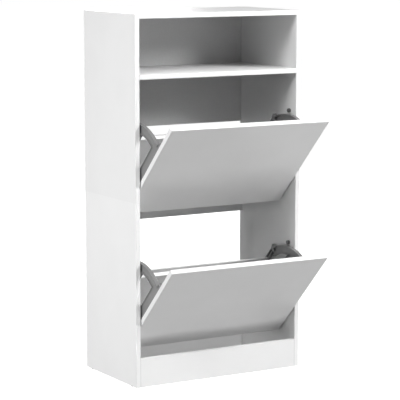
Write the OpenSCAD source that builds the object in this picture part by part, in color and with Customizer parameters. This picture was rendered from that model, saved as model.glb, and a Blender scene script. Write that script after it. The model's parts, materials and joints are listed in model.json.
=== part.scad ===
// Shoe cabinet with an open top space and two tip-out flaps.
// Millimetres, +Z up, front towards -Y. The origin is on the floor, under the middle of the
// whole object with its flaps drawn open.

/* [Cabinet] */
// Overall width
cabinet_w = 600; // [500:10:800]
// Depth of the closed cabinet
cabinet_d = 340; // [330:5:400]
// Overall height, standing on its glides
cabinet_h = 1160; // [1140:5:1240]
// Thickness of the laminated boards
board = 15; // [15:0.5:18]
// Height of the joint between the two halves of each side
seam_z = 580; // [570:5:590]
// Height of the plinth's top edge
plinth_top = 92; // [70:1:94]
// Clear height of the open space under the top panel
top_space = 170; // [140:5:175]

/* [Back] */
// Thickness of the upper back panel
back_board = 5; // [3:1:6]
// Height of the upper back panel's lower edge
back_bottom = 778; // [760:1:800]
// Width of the rebate that takes the upper back panel
rebate_w = 7; // [5:1:9]
// Lower edge of the middle back rail
rail_bottom = 475; // [460:5:480]
// Height of the middle back rail, edge to edge
rail_h = 210; // [180:5:230]
// Top edge of the lower back rail
low_rail_top = 210; // [180:5:230]
// Distance between the two wall screw holes
wall_hole_spacing = 400; // [200:10:420]
// Radius of the wall screw holes
wall_hole_r = 2.5; // [2:0.25:3]

/* [Flaps] */
// Angle the flaps are drawn open, from closed
open_angle = 45; // [0:1:66]
// Angle at which the frames' horns meet the stop pegs
full_angle = 66; // [50:1:68]
// Height of the lower flap's pivots
pivot_z = 212; // [212:1:215]
// Height from the lower to the upper pivots
flap_pitch = 430; // [420:1:435]
// Height of a flap front
flap_h = 400; // [380:5:405]
// Gap between a flap's edge and the side panel
flap_gap = 3; // [3:0.5:4]
// Pivot's distance behind the closed flap's face
pivot_back = 36; // [34:1:38]
// Pivot's height above the flap's lower edge
pivot_up = 112; // [110:1:112]

/* [Flip frames] */
// Width of a frame, seen from the front
frame_w = 12; // [10:1:14]
// Thickness of a frame's web and rims
rib = 3; // [2:0.5:3]
// Outer radius of the curved bar about the pivot
arch_r = 184; // [180:1:184]
// Width of the curved bar
arch_w = 28; // [24:1:32]
// Thickness of the tier boards
tier_board = 12; // [10:1:12]
// Distance from the pivot back to the divider board
divider_back = 87; // [80:1:95]
// Height of the divider board's top edge above the pivot
divider_up = 98; // [80:1:105]
// Distance from the pivot back to the thin rear board
rear_back = 166; // [160:1:168]
// Height of the rear board's top edge above the pivot
rear_up = 14; // [5:1:24]
// Thickness of the rear board
rear_board_t = 4; // [3:1:4]

/* [Fittings] */
// Radius of the pivot pins
pin_r = 5; // [4:0.5:5]
// Radial play of a frame on its pivot pin
pin_play = 0.05; // [0.02:0.01:0.1]
// Radius of the stop pegs
peg_r = 6.5; // [6:0.5:7.5]
// Length of the stop pegs, out from the side panel
peg_l = 8; // [7:0.5:13]
// Height of the stop pegs above the pivots
peg_up = 195; // [194:1:196]
// Radius of the cam discs
cam_r = 7.5; // [6:0.5:7.5]
// Distance from a board's end to its cam
cam_inset = 24; // [22:1:34]
// Radius of the wood dowels
dowel_r = 4; // [3:0.5:4]
// Thickness of the base glides
glide_t = 2; // [1.5:0.5:3]

/* [Hidden] */
$fn = 48;
eps = 0.01;

// Plan: the back of the cabinet and the flaps' front corners are equally far from the origin.
reach = (flap_h - pivot_up) * sin(open_angle) + pivot_back * cos(open_angle) - pivot_back;
back_y = (cabinet_d + reach) / 2;
front_y = back_y - cabinet_d;
pivot_y = front_y + pivot_back;
half_w = cabinet_w / 2;
inner_x = half_w - board;
side_mid_x = half_w - board / 2;

// Heights of the boards
top_z = cabinet_h - board;
shelf_z = top_z - top_space - board;
rail_top = rail_bottom + rail_h;
back_top = top_z + board / 2;
wall_hole_z = rail_top - 30;

// Flap assembly, in its own axes: X across, Y back from the pivot, Z up along the flap
flap_x = inner_x - flap_gap;
flap_face = -pivot_back;
flap_inner = flap_face + board;
frame_in_x = flap_x - frame_w;
web_recess = 2.5;
web_out_x = flap_x - web_recess;
web_in_x = web_out_x - rib;
bar_back = 11;
bar_top = arch_r - 10;
front_floor_z = -pivot_up + board - rib;
frame_low = front_floor_z - rib;
rear_floor_z = -40;
rear_low = rear_floor_z - rib;
floor_back = divider_back + tier_board;
rear_end = rear_back + rear_board_t;
rear_out = rear_end + 2 * rib;
rear_bar_top = 56;
arch_in = arch_r - arch_w;
arch_lead = 8;
arch_end = asin(rear_out / arch_r);
divider_bar_top = arch_in - 20;
lug_top = peg_up + 6;
lug_slope = 3;
lug_back = -peg_r - 0.5;
horn_r = peg_up;
horn_start = peg_r + 0.3;
horn_tip_w = 3;
boss_wall = 5;

// Fittings
tab_w = 20;
tab_reach = 22;
tab_t = 4;
tab_heights = [-62, 60, 155];
tab_screw_r = 2;
tab_screw_grip = board * 0.75;
tab_head_t = 2.4;
tab_screw_x = frame_in_x - tab_reach / 2;
end_screw_r = 1.75;
end_screw_l = 30;
end_head_t = 2;
end_screw_spots = [
  [25, front_floor_z + tier_board / 2],
  [70, front_floor_z + tier_board / 2],
  [divider_back + tier_board / 2, 0],
  [divider_back + tier_board / 2, 70],
  [(floor_back + rear_back) / 2, rear_floor_z + tier_board / 2]
];
spigot_r = 4;
spigot_l = 11;
pin_flange_r = 13;
pin_flange_t = 2;
pin_end = 2;
tip_chamfer = 1;
cam_depth = board * 0.8;
cam_slot_l = cam_r * 1.2;
cam_slot_w = 1.8;
cam_slot_t = 2;
bolt_r = 3;
bolt_head_l = 4;
bolt_shank_r = 2.2;
bolt_bore_r = 3.3;
thread_r = 2.5;
thread_l = 11;
dowel_half = 10;
dowel_deep = 20;
seam_dowel_l = 30;
nail_r = 0.9;
nail_l = 18;
nail_head_r = 2;
nail_head_t = 1;
glide_r = 7;
glide_pin_r = 1.2;
glide_pin_l = 12;
glide_inset = 35;

// Board ends on the sides, as [y, z]: level boards have their cams underneath,
// upright boards have them in the rear face. Dowels stand between the cams.
plinth_y = front_y + board / 2;
rail_y = back_y - board / 2;
level_cam_in = 60;
level_dowel_in = 100;
rail_cam_in = 40;
rail_dowel_in = 75;
low_cam_in = 55;
low_dowel_in = 22;
level_cams = [
  for (z = [top_z, shelf_z], y = [front_y + level_cam_in, back_y - level_cam_in]) [y, z + board / 2]
];
upright_cams = [
  [plinth_y, plinth_top / 2],
  [rail_y, low_cam_in], [rail_y, low_rail_top - low_cam_in],
  [rail_y, rail_bottom + rail_cam_in], [rail_y, rail_top - rail_cam_in]
];
dowel_spots = concat(
  [for (z = [top_z, shelf_z], y = [front_y + level_dowel_in, back_y - level_dowel_in]) [y, z + board / 2]],
  [for (z = [low_dowel_in, plinth_top - low_dowel_in]) [plinth_y, z]],
  [for (z = [low_dowel_in, low_rail_top - low_dowel_in]) [rail_y, z]],
  [for (z = [rail_bottom + rail_dowel_in, rail_top - rail_dowel_in]) [rail_y, z]]
);
// Fittings in the joint between the halves of a side, by their place from front to back
seam_cam_y = [front_y + level_cam_in, back_y - level_cam_in];
seam_dowel_y = [front_y + level_dowel_in, back_y - level_dowel_in];
// Nails of the upper back panel
nail_margin = 20;
side_nails = 6;
side_nail_pitch = (back_top - back_bottom - 2 * nail_margin) / (side_nails - 1);
side_nail_z = [for (i = [0:side_nails - 1]) back_bottom + nail_margin + i * side_nail_pitch];
level_nail_x = [for (i = [-2:2]) i * inner_x * 0.4];
shelf_nail_z = shelf_z + board / 2;
top_nail_z = top_z + board / 4;

white = [0.96, 0.96, 0.96];
raw_board = [0.9, 0.9, 0.9];
plastic = [0.55, 0.56, 0.57];
dark_plastic = [0.3, 0.3, 0.31];
zinc = [0.75, 0.75, 0.73];
beech = [0.8, 0.66, 0.45];

CABINET_NODES = [
  "left_side_upper", "left_side_lower", "right_side_upper", "right_side_lower",
  "top_panel", "shelf_panel", "plinth_panel",
  "upper_back_panel", "middle_back_rail", "lower_back_rail",
  "upper_left_pivot_pin", "upper_right_pivot_pin", "lower_left_pivot_pin", "lower_right_pivot_pin",
  "upper_left_stop_peg", "upper_right_stop_peg", "lower_left_stop_peg", "lower_right_stop_peg",
  "cam_locks", "cam_bolts", "wood_dowels", "back_panel_nails", "base_glides"
];
FLAP_NODES = [
  "upper_flap_front", "upper_left_flip_frame", "upper_right_flip_frame",
  "upper_front_tier_floor", "upper_divider_board", "upper_rear_tier_floor", "upper_rear_board",
  "upper_frame_screws", "upper_tier_screws",
  "lower_flap_front", "lower_left_flip_frame", "lower_right_flip_frame",
  "lower_front_tier_floor", "lower_divider_board", "lower_rear_tier_floor", "lower_rear_board",
  "lower_frame_screws", "lower_tier_screws"
];

// ---------- helpers ----------

// A box given by its lowest and highest corners
module box(low, high) {
  translate(low)
    cube(high - low);
}

// Draws its children on the left (-1) or right (1) side
module on_side(side) {
  mirror([side < 0 ? 1 : 0, 0, 0])
    children();
}

module both_sides() {
  for (side = [-1, 1])
    on_side(side)
      children();
}

// A cylinder along +X from the given point
module rod_x(from, r, l) {
  translate(from)
    rotate([0, 90, 0])
      cylinder(r = r, h = l);
}

// A cylinder along -Y from the given point
module rod_front(from, r, l) {
  translate(from)
    rotate([90, 0, 0])
      cylinder(r = r, h = l);
}

// Moves flap axes to a pivot and tips the flap open; 0 is the lower flap and 1 the upper one
module at_flap(level) {
  translate([0, pivot_y, pivot_z + level * flap_pitch])
    rotate([open_angle, 0, 0])
      children();
}

// ---------- fittings ----------

// A cam disc with its slotted face at z = 0 and its bolt bore towards +X
module cam_disc() {
  difference() {
    cylinder(r = cam_r, h = cam_depth);
    rod_x([0, 0, board / 2], bolt_bore_r, cam_r + 1);
    for (turn = [0, 90])
      rotate([0, 0, turn])
        translate([-cam_slot_l / 2, -cam_slot_w / 2, -1])
          cube([cam_slot_l, cam_slot_w, cam_slot_t + 1]);
  }
}

// Draws its children at a cam place on the right side, open face at z = 0
module at_level_cam(spot) {
  translate([inner_x - cam_inset, spot[0], spot[1] - board / 2])
    children();
}

module at_upright_cam(spot) {
  translate([inner_x - cam_inset, spot[0] + board / 2, spot[1]])
    rotate([90, 0, 0])
      children();
}

// In the upper half of a side: open face inwards, bolt bore downwards to the seam
module at_seam_cam(y) {
  translate([inner_x, y, seam_z + cam_inset])
    rotate([0, 90, 0])
      children();
}

// The bolt from a side panel into a cam, along -X from the panel's inner face
module cam_bolt(spot) {
  rod_x([inner_x, spot[0], spot[1]], thread_r, thread_l);
  rod_x([inner_x - cam_inset + bolt_head_l, spot[0], spot[1]], bolt_shank_r, cam_inset - bolt_head_l);
  rod_x([inner_x - cam_inset, spot[0], spot[1]], bolt_r, bolt_head_l);
}

module seam_bolt(y) {
  translate([side_mid_x, y, seam_z])
    rotate([0, -90, 0]) {
      rod_x([-thread_l, 0, 0], thread_r, thread_l);
      rod_x([0, 0, 0], bolt_shank_r, cam_inset - bolt_head_l);
      rod_x([cam_inset - bolt_head_l, 0, 0], bolt_r, bolt_head_l);
    }
}

// Every hole that the fittings need in the carcass, on the right side
module carcass_holes() {
  for (spot = level_cams)
    at_level_cam(spot)
      translate([0, 0, -1])
        cylinder(r = cam_r, h = cam_depth + 1);
  for (spot = upright_cams)
    at_upright_cam(spot)
      translate([0, 0, -1])
        cylinder(r = cam_r, h = cam_depth + 1);
  for (spot = concat(level_cams, upright_cams)) {
    rod_x([inner_x - cam_inset, spot[0], spot[1]], bolt_bore_r, cam_inset);
    rod_x([inner_x - eps, spot[0], spot[1]], thread_r, thread_l + eps);
  }
  for (spot = dowel_spots)
    rod_x([inner_x - dowel_deep, spot[0], spot[1]], dowel_r, dowel_deep + dowel_half);
}

// The holes of the joint between the halves of the right side
module seam_holes() {
  for (y = seam_cam_y) {
    at_seam_cam(y)
      translate([0, 0, -1])
        cylinder(r = cam_r, h = cam_depth + 1);
    translate([side_mid_x, y, seam_z])
      cylinder(r = bolt_bore_r, h = cam_inset);
    translate([side_mid_x, y, seam_z - thread_l])
      cylinder(r = thread_r, h = thread_l + eps);
  }
  for (y = seam_dowel_y)
    seam_dowel(y);
}

// A dowel across the joint between the halves of a side
module seam_dowel(y) {
  translate([side_mid_x, y, seam_z - seam_dowel_l / 2])
    cylinder(r = dowel_r, h = seam_dowel_l);
}

// The spigot holes of the right side's pivot pins and stop pegs
module spigot_holes() {
  for (level = [0, 1], up = [0, peg_up])
    rod_x([inner_x - eps, pivot_y, pivot_z + level * flap_pitch + up], spigot_r, spigot_l + eps);
}

// ---------- cabinet ----------

module side_half(low, high) {
  color(white)
    difference() {
      box([inner_x, front_y, low], [half_w, back_y, high]);
      box([inner_x - 1, back_y - back_board, back_bottom],
          [inner_x + rebate_w, back_y + 1, back_top]);
      carcass_holes();
      seam_holes();
      spigot_holes();
      back_nail_shape();
      glide_pins();
    }
}

module side_upper(side) {
  on_side(side)
    side_half(seam_z, cabinet_h);
}

module side_lower(side) {
  on_side(side)
    side_half(glide_t, seam_z);
}

module top_panel() {
  color(white)
    difference() {
      box([-inner_x, front_y, top_z], [inner_x, back_y, cabinet_h]);
      box([-inner_x - 1, back_y - back_board, top_z - 1], [inner_x + 1, back_y + 1, back_top]);
      both_sides()
        carcass_holes();
      back_nail_shape();
    }
}

module shelf_panel() {
  color(white)
    difference() {
      box([-inner_x, front_y, shelf_z], [inner_x, back_y - back_board, shelf_z + board]);
      both_sides()
        carcass_holes();
      back_nail_shape();
    }
}

module upright_board(y, low, high) {
  box([-inner_x, y - board / 2, low], [inner_x, y + board / 2, high]);
}

module plinth_panel() {
  color(white)
    difference() {
      upright_board(plinth_y, glide_t, plinth_top);
      both_sides()
        carcass_holes();
    }
}

module upper_back_panel() {
  color(raw_board)
    difference() {
      box([-inner_x - rebate_w, back_y - back_board, back_bottom],
          [inner_x + rebate_w, back_y, back_top]);
      back_nail_shape();
    }
}

module middle_back_rail() {
  color(white)
    difference() {
      upright_board(rail_y, rail_bottom, rail_top);
      both_sides() {
        carcass_holes();
        rod_front([wall_hole_spacing / 2, back_y + 1, wall_hole_z], wall_hole_r, board + 2);
      }
    }
}

module lower_back_rail() {
  color(white)
    difference() {
      upright_board(rail_y, glide_t, low_rail_top);
      both_sides()
        carcass_holes();
    }
}

// Pivot pin: a flange on the side panel, a spigot in it and the axle towards the frame
module pivot_pin(side, level) {
  color(dark_plastic)
    on_side(side)
      translate([inner_x, pivot_y, pivot_z + level * flap_pitch])
        rotate([0, -90, 0]) {
          stud(pin_r, flap_gap + frame_w + pin_end);
          cylinder(r = pin_flange_r, h = pin_flange_t);
        }
}

// A round stud of length l along +Z with a chamfered tip, and its spigot below z = 0
module stud(r, l) {
  translate([0, 0, -spigot_l])
    cylinder(r = spigot_r, h = spigot_l + eps);
  cylinder(r = r, h = l - tip_chamfer);
  translate([0, 0, l - tip_chamfer])
    cylinder(r1 = r, r2 = r - tip_chamfer, h = tip_chamfer);
}

// Stop peg: a short thick peg that stands in the path of the frame's lug and horn
module stop_peg(side, level) {
  color(dark_plastic)
    on_side(side)
      translate([inner_x, pivot_y, pivot_z + level * flap_pitch + peg_up])
        rotate([0, -90, 0])
          stud(peg_r, peg_l);
}

module cam_locks() {
  color(zinc)
    both_sides() {
      for (spot = level_cams)
        at_level_cam(spot)
          cam_disc();
      for (spot = upright_cams)
        at_upright_cam(spot)
          cam_disc();
      for (y = seam_cam_y)
        at_seam_cam(y)
          cam_disc();
    }
}

module cam_bolts() {
  color(zinc)
    both_sides() {
      for (spot = concat(level_cams, upright_cams))
        cam_bolt(spot);
      for (y = seam_cam_y)
        seam_bolt(y);
    }
}

module wood_dowels() {
  color(beech)
    both_sides() {
      for (spot = dowel_spots)
        rod_x([inner_x - dowel_deep, spot[0], spot[1]], dowel_r, dowel_deep + dowel_half);
      for (y = seam_dowel_y)
        seam_dowel(y);
    }
}

// One nail from the back face, its head flush
module back_nail(x, z) {
  rod_front([x, back_y, z], nail_head_r, nail_head_t);
  rod_front([x, back_y, z], nail_r, nail_l);
}

module back_nail_shape() {
  for (side = [-1, 1], z = side_nail_z)
    back_nail(side * (inner_x + rebate_w / 2), z);
  for (x = level_nail_x, z = [shelf_nail_z, top_nail_z])
    back_nail(x, z);
}

module back_panel_nails() {
  color(zinc)
    back_nail_shape();
}

module glide_pins() {
  for (y = [front_y + glide_inset, back_y - glide_inset])
    translate([side_mid_x, y, glide_t - eps])
      cylinder(r = glide_pin_r, h = glide_pin_l);
}

module base_glides() {
  color(dark_plastic)
    both_sides() {
      glide_pins();
      for (y = [front_y + glide_inset, back_y - glide_inset])
        translate([side_mid_x, y, 0])
          cylinder(r = glide_r, h = glide_t);
    }
}

// ---------- flaps ----------

// A tier board's cross-section, as its lowest and highest [back, up] corners
front_floor_section = [[flap_inner, front_floor_z], [floor_back, front_floor_z + tier_board]];
divider_section = [[divider_back, front_floor_z + tier_board], [floor_back, divider_up]];
rear_floor_section = [[floor_back, rear_floor_z], [rear_back, rear_floor_z + tier_board]];
rear_board_section = [[rear_back, rear_floor_z], [rear_end, rear_up]];

module section(corners) {
  translate(corners[0])
    square(corners[1] - corners[0]);
}

// Extrudes a [back, up] shape across the flap
module across(from, to) {
  translate([from, 0, 0])
    rotate([90, 0, 90])
      linear_extrude(height = to - from)
        children();
}

// A pie slice about the pivot, angles from straight up towards the back
module slice(from, to) {
  far = 2 * arch_r;
  polygon([[0, 0], for (i = [0:4]) let (a = from + (to - from) * i / 4) far * [sin(a), cos(a)]]);
}

// A point near the peg's place at full opening: along is back about the pivot, out is from it
function near_peg(along, out) = [
  along * cos(full_angle) + out * sin(full_angle),
  out * cos(full_angle) - along * sin(full_angle)
];

// The tooth at the frame's rear corner that meets the peg at full opening
module horn() {
  polygon([near_peg(horn_start, arch_r - arch_w / 2), near_peg(horn_start, horn_r),
           near_peg(horn_start + horn_tip_w, horn_r - tip_chamfer),
           [rear_out, rear_bar_top], [rear_back - rib, rear_bar_top]]);
}

// The frame's bars, each drawn in by t from its outline
module bars(t) {
  // upright bar along the flap front, with the lug that meets the peg when closed
  section([[flap_inner + t, frame_low + t], [bar_back - t, bar_top]]);
  polygon([[flap_inner + t, 0], [lug_back - t, 0], [lug_back - t, lug_top - lug_slope - t],
           [flap_inner + t, lug_top - t]]);
  // curved bar
  intersection() {
    difference() {
      circle(r = arch_r - t, $fn = 180);
      circle(r = arch_in + t, $fn = 180);
    }
    slice(-arch_lead, arch_end);
    translate([flap_inner + t, 0])
      square(2 * arch_r);
  }
  // rear bar, rear floor bar, divider bar and front floor bar
  section([[rear_back - rib + t, rear_low + t], [rear_out - t, rear_bar_top]]);
  section([[divider_back, rear_low + t], [rear_out - t, rear_floor_z + tier_board + rib - t]]);
  section([[divider_back - rib + t, frame_low + t], [floor_back + rib - t, divider_bar_top]]);
  section([[flap_inner + t, frame_low + t],
           [floor_back + rib - t, front_floor_z + tier_board + rib - t]]);
}

module rims() {
  difference() {
    bars(0);
    bars(rib);
  }
  horn();
}

module frame_shape() {
  across(web_in_x, web_out_x) {
    bars(0);
    horn();
  }
  across(web_out_x - eps, flap_x)
    rims();
  across(frame_in_x, web_in_x + eps)
    difference() {
      rims();
      section(front_floor_section);
      section(divider_section);
      section(rear_floor_section);
      section(rear_board_section);
    }
  // pivot boss
  rod_x([frame_in_x, 0, 0], pin_r + boss_wall, frame_w);
  // tabs for the screws into the flap front
  for (z = tab_heights)
    box([frame_in_x - tab_reach, flap_inner, z - tab_w / 2],
        [web_in_x + eps, flap_inner + tab_t, z + tab_w / 2]);
}

module flip_frame(side, level) {
  color(plastic)
    at_flap(level)
      on_side(side)
        difference() {
          frame_shape();
          rod_x([frame_in_x - 1, 0, 0], pin_r + pin_play, frame_w + 2);
          for (z = tab_heights)
            rod_front([tab_screw_x, flap_inner + tab_t + 1, z], tab_screw_r, tab_t + 2);
          end_screw_shanks();
        }
}

module flap_front(level) {
  color(white)
    at_flap(level)
      difference() {
        box([-flap_x, flap_face, -pivot_up], [flap_x, flap_inner, flap_h - pivot_up]);
        both_sides()
          tab_screw_shape();
      }
}

// A board held between the webs of the two frames
module tier_board(corners, level) {
  color(white)
    at_flap(level)
      difference() {
        across(-web_in_x, web_in_x)
          section(corners);
        both_sides()
          end_screw_shanks();
      }
}

module tab_screw_shape() {
  for (z = tab_heights) {
    rod_front([tab_screw_x, flap_inner + tab_t, z], tab_screw_r, tab_t + tab_screw_grip);
    rod_front([tab_screw_x, flap_inner + tab_t + tab_head_t, z], tab_screw_r * 2, tab_head_t);
  }
}

module frame_screws(level) {
  color(zinc)
    at_flap(level)
      both_sides()
        tab_screw_shape();
}

module end_screw_shanks() {
  for (spot = end_screw_spots)
    rod_x([web_out_x - end_screw_l, spot[0], spot[1]], end_screw_r, end_screw_l);
}

module tier_screws(level) {
  color(zinc)
    at_flap(level)
      both_sides() {
        end_screw_shanks();
        for (spot = end_screw_spots)
          rod_x([web_out_x, spot[0], spot[1]], end_screw_r * 2, end_head_t);
      }
}

// ---------- what is drawn ----------

side_upper(-1);  // left_side_upper
side_lower(-1);  // left_side_lower
side_upper(1);  // right_side_upper
side_lower(1);  // right_side_lower
top_panel();
shelf_panel();
plinth_panel();
upper_back_panel();
middle_back_rail();
lower_back_rail();
pivot_pin(-1, 1);  // upper_left_pivot_pin
pivot_pin(1, 1);  // upper_right_pivot_pin
pivot_pin(-1, 0);  // lower_left_pivot_pin
pivot_pin(1, 0);  // lower_right_pivot_pin
stop_peg(-1, 1);  // upper_left_stop_peg
stop_peg(1, 1);  // upper_right_stop_peg
stop_peg(-1, 0);  // lower_left_stop_peg
stop_peg(1, 0);  // lower_right_stop_peg
cam_locks();
cam_bolts();
wood_dowels();
back_panel_nails();
base_glides();

flap_front(1);  // upper_flap_front
flip_frame(-1, 1);  // upper_left_flip_frame
flip_frame(1, 1);  // upper_right_flip_frame
tier_board(front_floor_section, 1);  // upper_front_tier_floor
tier_board(divider_section, 1);  // upper_divider_board
tier_board(rear_floor_section, 1);  // upper_rear_tier_floor
tier_board(rear_board_section, 1);  // upper_rear_board
frame_screws(1);  // upper_frame_screws
tier_screws(1);  // upper_tier_screws

flap_front(0);  // lower_flap_front
flip_frame(-1, 0);  // lower_left_flip_frame
flip_frame(1, 0);  // lower_right_flip_frame
tier_board(front_floor_section, 0);  // lower_front_tier_floor
tier_board(divider_section, 0);  // lower_divider_board
tier_board(rear_floor_section, 0);  // lower_rear_tier_floor
tier_board(rear_board_section, 0);  // lower_rear_board
frame_screws(0);  // lower_frame_screws
tier_screws(0);  // lower_tier_screws
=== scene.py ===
import json
import math

import bpy
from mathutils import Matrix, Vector

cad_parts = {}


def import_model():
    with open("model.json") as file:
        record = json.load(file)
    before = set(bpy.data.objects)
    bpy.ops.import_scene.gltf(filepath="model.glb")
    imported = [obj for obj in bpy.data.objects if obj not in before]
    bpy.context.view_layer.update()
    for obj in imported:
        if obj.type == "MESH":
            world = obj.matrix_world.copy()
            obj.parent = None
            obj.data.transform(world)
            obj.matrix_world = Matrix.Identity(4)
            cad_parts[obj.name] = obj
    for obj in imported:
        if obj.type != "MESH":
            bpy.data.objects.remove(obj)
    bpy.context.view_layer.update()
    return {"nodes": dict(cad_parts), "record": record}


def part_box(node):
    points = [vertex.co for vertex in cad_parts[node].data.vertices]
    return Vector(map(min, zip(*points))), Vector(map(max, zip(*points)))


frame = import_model()
nodes = frame["nodes"]

MM = 0.001

# The cabinet without its flaps, from the frame
side_low, side_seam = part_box("left_side_lower")
_, side_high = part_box("right_side_upper")
top_low, top_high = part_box("top_panel")
front_y, back_y = side_low.y, side_high.y
cabinet_mid = Vector((0, (front_y + back_y) / 2, 0))


# ---------- node helpers ----------

# The part of a noise texture's range that most of its values fall in
NOISE_LOW = 0.3
NOISE_HIGH = 0.7


def fill(node, **sockets):
    """Sets plain values on a node's inputs; a name has _ where the input's own has a space."""
    for name, value in sockets.items():
        node.inputs[name.replace("_", " ")].default_value = value


class Shader:
    """A material's node tree, with short calls for the nodes that every material here uses."""

    def __init__(self, name, **sockets):
        self.material = bpy.data.materials.new(name)
        self.material.use_nodes = True
        self.tree = self.material.node_tree
        self.bsdf = self.tree.nodes["Principled BSDF"]
        coordinates = self.add("ShaderNodeTexCoord")
        self.place = coordinates.outputs["Object"]
        self.facing = coordinates.outputs["Normal"]
        fill(self.bsdf, **sockets)

    def add(self, kind, **settings):
        node = self.tree.nodes.new(kind)
        for key, value in settings.items():
            setattr(node, key, value)
        return node

    def link(self, source, socket):
        self.tree.links.new(source, socket)

    def feed(self, socket, value):
        """Links an output to a socket, or sets a plain number on it."""
        if isinstance(value, bpy.types.NodeSocket):
            self.link(value, socket)
        else:
            socket.default_value = value

    def math(self, operation, a, b=0.0):
        node = self.add("ShaderNodeMath", operation=operation)
        self.feed(node.inputs[0], a)
        self.feed(node.inputs[1], b)
        return node.outputs[0]

    def without_sign(self, value):
        return self.math("ABSOLUTE", value)

    def above(self, value, limit):
        return self.math("GREATER_THAN", value, limit)

    def below(self, value, limit):
        return self.math("LESS_THAN", value, limit)

    def both(self, a, b):
        return self.math("MULTIPLY", a, b)

    def either(self, a, b):
        return self.math("MAXIMUM", a, b)

    def parts(self, vector):
        """The X, Y and Z of a vector output."""
        node = self.add("ShaderNodeSeparateXYZ")
        self.link(vector, node.inputs[0])
        return node.outputs

    def scaled(self, scale):
        """The object's own coordinates, stretched by scale along each axis."""
        node = self.add("ShaderNodeMapping")
        self.link(self.place, node.inputs["Vector"])
        fill(node, Scale=scale)
        return node.outputs[0]

    def noise(self, size, detail=2.0, place=None):
        """Noise whose features are about size metres across."""
        node = self.add("ShaderNodeTexNoise")
        self.link(place or self.place, node.inputs["Vector"])
        fill(node, Scale=1 / size, Detail=detail)
        return node.outputs["Fac"]

    def cells(self, size):
        """A random number for each of many small cells, size metres across."""
        node = self.add("ShaderNodeTexVoronoi")
        self.link(self.place, node.inputs["Vector"])
        fill(node, Scale=1 / size)
        return self.parts(node.outputs["Color"])[0]

    def spread(self, noise, low, high):
        """Noise stretched so that it runs from low to high."""
        node = self.add("ShaderNodeMapRange")
        self.link(noise, node.inputs["Value"])
        fill(node, From_Min=NOISE_LOW, From_Max=NOISE_HIGH, To_Min=low, To_Max=high)
        return node.outputs[0]

    def blend(self, factor, a, b):
        """Mixes two colours."""
        node = self.add("ShaderNodeMix", data_type="RGBA")
        self.feed(node.inputs[0], factor)
        for socket, colour in ((node.inputs[6], a), (node.inputs[7], b)):
            self.feed(socket, colour if isinstance(colour, bpy.types.NodeSocket) else (*colour, 1))
        return node.outputs[2]

    def mottle(self, noise, a, b):
        """Goes from one colour to another with the noise."""
        return self.blend(self.spread(noise, 0, 1), a, b)

    def colour(self, value):
        self.link(value, self.bsdf.inputs["Base Color"])

    def roughness(self, value):
        self.link(value, self.bsdf.inputs["Roughness"])

    def bump(self, height, depth, strength):
        node = self.add("ShaderNodeBump")
        fill(node, Strength=strength, Distance=depth)
        self.link(height, node.inputs["Height"])
        self.link(node.outputs[0], self.bsdf.inputs["Normal"])


def grey(level):
    return (level, level, level)


# ---------- materials ----------

# A face points along an axis squarely or roughly when that much of its direction lies along it
SQUARELY = 0.9
ROUGHLY = 0.5
MARGIN = 1 * MM
HAIRLINE = 1.2 * MM

RAW_ROUGHNESS = 0.85
CHIP_DARK = (0.4, 0.29, 0.18)
CHIP_PALE = (0.66, 0.53, 0.37)


def unbanded(look):
    """1 on the edges that face the wall and the floor, which carry no laminate, and 0 elsewhere."""
    x, y, z = look.parts(look.place)
    _, to_back, upwards = look.parts(look.facing)
    side_or_top = look.either(look.above(look.without_sign(x), top_high.x), look.above(z, top_low.z))
    at_back = look.both(look.above(to_back, SQUARELY), look.above(y, back_y - MARGIN))
    underneath = look.both(look.below(upwards, -SQUARELY), look.below(z, side_low.z + MARGIN))
    return look.either(look.both(at_back, side_or_top), underneath)


def lower_side(look):
    """1 on the lower halves of the sides, which are coloured slightly whiter than the rest."""
    x, _, z = look.parts(look.place)
    return look.both(look.above(look.without_sign(x), top_high.x + MARGIN), look.below(z, side_seam.z))


def painted_joint_shade(look):
    """1 on the hairlines in the front where the level boards meet the sides, where grey is painted in as the
    shade in the joints.
    """
    x = look.parts(look.place)[0]
    to_back = look.parts(look.facing)[1]
    distance = look.without_sign(look.math("SUBTRACT", look.without_sign(x), top_high.x))
    return look.both(look.below(distance, HAIRLINE / 2), look.below(to_back, -ROUGHLY))


def white_laminate():
    """Satin white melamine: faint clouding, a fine pearled skin and slight wipe marks in its sheen.

    The edges against the wall and the floor show the chipboard inside.
    """
    look = Shader("white_laminate", Specular_IOR_Level=0.4)
    cloud = look.noise(120 * MM, detail=3)
    # The lower halves of the sides get a slightly whiter colour than the upper halves and the other boards.
    upper_tone = look.mottle(cloud, grey(0.79), grey(0.81))
    whiter_lower_tone = look.mottle(cloud, grey(0.815), grey(0.835))
    laminate_tone = look.blend(lower_side(look), upper_tone, whiter_lower_tone)
    # Painted shade: the front joint hairlines are darkened to grey to stand in for the shadow between the
    # boards and the sides.
    joint_shaded_tone = look.blend(painted_joint_shade(look), laminate_tone, grey(0.5))
    chips = look.blend(look.cells(1.8 * MM), CHIP_DARK, CHIP_PALE)
    raw = unbanded(look)
    look.colour(look.blend(raw, joint_shaded_tone, chips))
    wipes = look.spread(look.noise(50 * MM, detail=3), 0.4, 0.47)
    look.roughness(look.either(wipes, look.math("MULTIPLY", raw, RAW_ROUGHNESS)))
    pearl = look.noise(1.2 * MM)
    look.bump(pearl, depth=0.03 * MM, strength=0.3)
    return look.material


def white_hardboard():
    """Thin board with a satin white lacquer over pressed fibres."""
    look = Shader("white_hardboard", Specular_IOR_Level=0.4)
    fibre = look.noise(1.5 * MM, detail=4, place=look.scaled((1, 1, 0.4)))
    look.colour(look.mottle(fibre, grey(0.74), grey(0.79)))
    look.roughness(look.spread(look.noise(50 * MM), 0.4, 0.55))
    look.bump(fibre, depth=0.1 * MM, strength=0.5)
    return look.material


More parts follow.
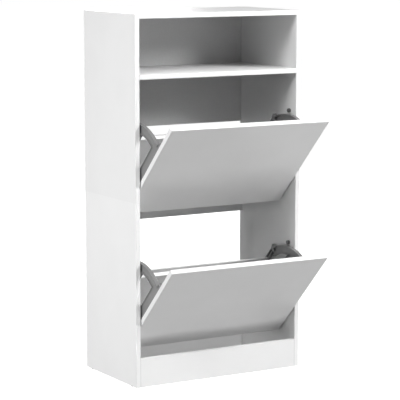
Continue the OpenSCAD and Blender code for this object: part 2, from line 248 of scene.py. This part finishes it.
def moulded(name, level, gloss):
    """Moulded plastic with a fine spark-eroded skin and faint flow clouds."""
    look = Shader(name, Specular_IOR_Level=0.5)
    flow = look.noise(35 * MM)
    look.colour(look.mottle(flow, grey(level * 0.94), grey(level * 1.05)))
    skin = look.noise(0.6 * MM)
    look.roughness(look.spread(skin, gloss - 0.06, gloss + 0.08))
    look.bump(skin, depth=0.08 * MM, strength=0.5)
    return look.material


def zinc_steel():
    """Zinc-plated steel: fine turning lines and a patchy passivated sheen."""
    look = Shader("zinc_steel", Metallic=1.0)
    patches = look.noise(6 * MM, detail=3)
    look.colour(look.mottle(patches, (0.6, 0.6, 0.57), (0.76, 0.76, 0.75)))
    lines = look.noise(0.8 * MM, place=look.scaled((1, 6, 1)))
    look.roughness(look.spread(lines, 0.28, 0.42))
    look.bump(lines, depth=0.03 * MM, strength=0.4)
    return look.material


def beech():
    """Fluted beech dowel: short dark flecks along the grain."""
    look = Shader("beech", Specular_IOR_Level=0.3)
    grain = look.noise(1.5 * MM, detail=3, place=look.scaled((0.15, 1, 1)))
    look.colour(look.mottle(grain, (0.55, 0.37, 0.2), (0.72, 0.54, 0.34)))
    look.roughness(look.spread(grain, 0.6, 0.75))
    look.bump(grain, depth=0.1 * MM, strength=0.5)
    return look.material


MATERIALS = {
    "white_laminate": white_laminate(),
    "white_hardboard": white_hardboard(),
    "grey_plastic": moulded("grey_plastic", level=0.19, gloss=0.42),
    "dark_plastic": moulded("dark_plastic", level=0.09, gloss=0.4),
    "zinc_steel": zinc_steel(),
    "beech": beech(),
}


# ---------- CAD nodes ----------

EDGE_RADIUS = {
    "white_laminate": 0.7 * MM,
    "white_hardboard": 0.3 * MM,
    "grey_plastic": 0.4 * MM,
    "dark_plastic": 0.3 * MM,
}
SHARP_EDGE = math.radians(40)


def soften_edges(piece, radius):
    modifier = piece.modifiers.new("edge_radius", "BEVEL")
    modifier.width = radius
    modifier.segments = 2
    modifier.limit_method = "ANGLE"
    modifier.angle_limit = SHARP_EDGE


def dress_cad_nodes():
    for part in frame["record"]["subparts"]:
        piece = nodes[part["node"]]
        slot = part["material_slot"]
        piece.data.materials.clear()
        piece.data.materials.append(MATERIALS[slot])
        if slot in EDGE_RADIUS:
            soften_edges(piece, EDGE_RADIUS[slot])


dress_cad_nodes()


# ---------- floor, light and camera ----------

WHITE = (1, 1, 1, 1)
FLOOR_GREY = (0.3, 0.3, 0.3, 1)
FLOOR_HALF = 30

# The Z of the direction in which the glow from below is full, and that in which it is gone
GLOW_FULL = -0.95
GLOW_GONE = -0.7

# The view that fits the photograph best, placed from the floor under the middle of the cabinet
CAMERA_PLACE = Vector((-2.9623, -5.0924, 1.3924))
CAMERA_YAW = 0.5310
CAMERA_PITCH = 0.1421
CAMERA_LENS = 166.0
CAMERA_SENSOR = 36
CAMERA_REACH = 100


def add_to_scene(name, data):
    piece = bpy.data.objects.new(name, data)
    bpy.context.scene.collection.objects.link(piece)
    return piece


def aim(piece, direction, forward, up):
    """Turns the piece so that its own forward axis points along the direction."""
    piece.rotation_mode = "QUATERNION"
    piece.rotation_quaternion = direction.to_track_quat(forward, up)


def floor():
    """A pale plain floor. It throws no light back up, so the flaps' undersides stay in shade."""
    half = FLOOR_HALF
    mesh = bpy.data.meshes.new("floor")
    corners = [(-half, -half, 0), (half, -half, 0), (half, half, 0), (-half, half, 0)]
    mesh.from_pydata(corners, [], [(0, 1, 2, 3)])
    piece = add_to_scene("floor", mesh)
    paint = Shader("floor_paint", Roughness=0.9, Specular_IOR_Level=0.1)
    fill(paint.bsdf, Base_Color=FLOOR_GREY, Emission_Color=WHITE, Emission_Strength=1.0)
    mesh.materials.append(paint.material)
    piece.visible_diffuse = False
    piece.visible_shadow = False


def world(ambient, floor_glow):
    """Faint even light with a soft glow from straight below, in front of a white background."""
    scene_world = bpy.data.worlds.new("studio")
    bpy.context.scene.world = scene_world
    scene_world.use_nodes = True
    tree = scene_world.node_tree
    background = tree.nodes["Background"]
    fill(background, Color=WHITE)
    direction = tree.nodes.new("ShaderNodeSeparateXYZ")
    tree.links.new(tree.nodes.new("ShaderNodeTexCoord").outputs["Generated"], direction.inputs[0])
    glow = tree.nodes.new("ShaderNodeMapRange")
    glow.interpolation_type = "SMOOTHSTEP"
    tree.links.new(direction.outputs["Z"], glow.inputs["Value"])
    fill(glow, From_Min=GLOW_FULL, From_Max=GLOW_GONE, To_Min=floor_glow, To_Max=ambient)
    strength = tree.nodes.new("ShaderNodeMix")
    tree.links.new(tree.nodes.new("ShaderNodeLightPath").outputs["Is Camera Ray"], strength.inputs["Factor"])
    tree.links.new(glow.outputs[0], strength.inputs["A"])
    fill(strength, B=1.0)
    tree.links.new(strength.outputs["Result"], background.inputs["Strength"])


def lamp(name, azimuth, elevation, power, size=1.3, distance=4.0):
    """A round soft lamp that faces the middle of the cabinet; azimuth 0 is in front and 90 to its right.

    The lamps below the floor stand for the light that a pale floor throws back up: the floor hides
    them from the camera and lets their light through.
    """
    target = cabinet_mid + Vector((0, 0, side_high.z / 2))
    turn, rise = math.radians(azimuth), math.radians(elevation)
    direction = Vector((math.sin(turn) * math.cos(rise), -math.cos(turn) * math.cos(rise), math.sin(rise)))
    light = bpy.data.lights.new(name, "AREA")
    light.shape = "DISK"
    light.size = size
    light.energy = power
    piece = add_to_scene(name, light)
    piece.location = target + direction * distance
    aim(piece, direction, "Z", "Y")


def camera():
    """Stands to the left of the cabinet's front, above its top, and looks slightly down."""
    data = bpy.data.cameras.new("camera")
    data.sensor_width = CAMERA_SENSOR
    data.lens = CAMERA_LENS
    data.clip_end = CAMERA_REACH
    piece = add_to_scene("camera", data)
    piece.location = cabinet_mid + CAMERA_PLACE
    level = math.cos(CAMERA_PITCH)
    sideways, ahead = math.sin(CAMERA_YAW) * level, math.cos(CAMERA_YAW) * level
    aim(piece, Vector((sideways, ahead, -math.sin(CAMERA_PITCH))), "-Z", "Y")
    bpy.context.scene.camera = piece


floor()
world(ambient=0.03, floor_glow=0.26)
lamp("left_lamp", azimuth=-60, elevation=45, power=72)
lamp("high_front_lamp", azimuth=-10, elevation=44, power=46)
lamp("front_lamp", azimuth=35, elevation=30, power=112)
lamp("right_lamp", azimuth=75, elevation=20, power=85)
lamp("rear_lamp", azimuth=160, elevation=12, power=110)
lamp("left_low_lamp", azimuth=-90, elevation=0, power=16, size=0.7, distance=2.2)
lamp("floor_glow_left", azimuth=-90, elevation=-15, power=34)
lamp("floor_glow_front", azimuth=0, elevation=-42, power=50, size=3.2)
camera()
bpy.context.scene.view_settings.view_transform = "Standard"
bpy.context.scene.cycles.diffuse_bounces = 2
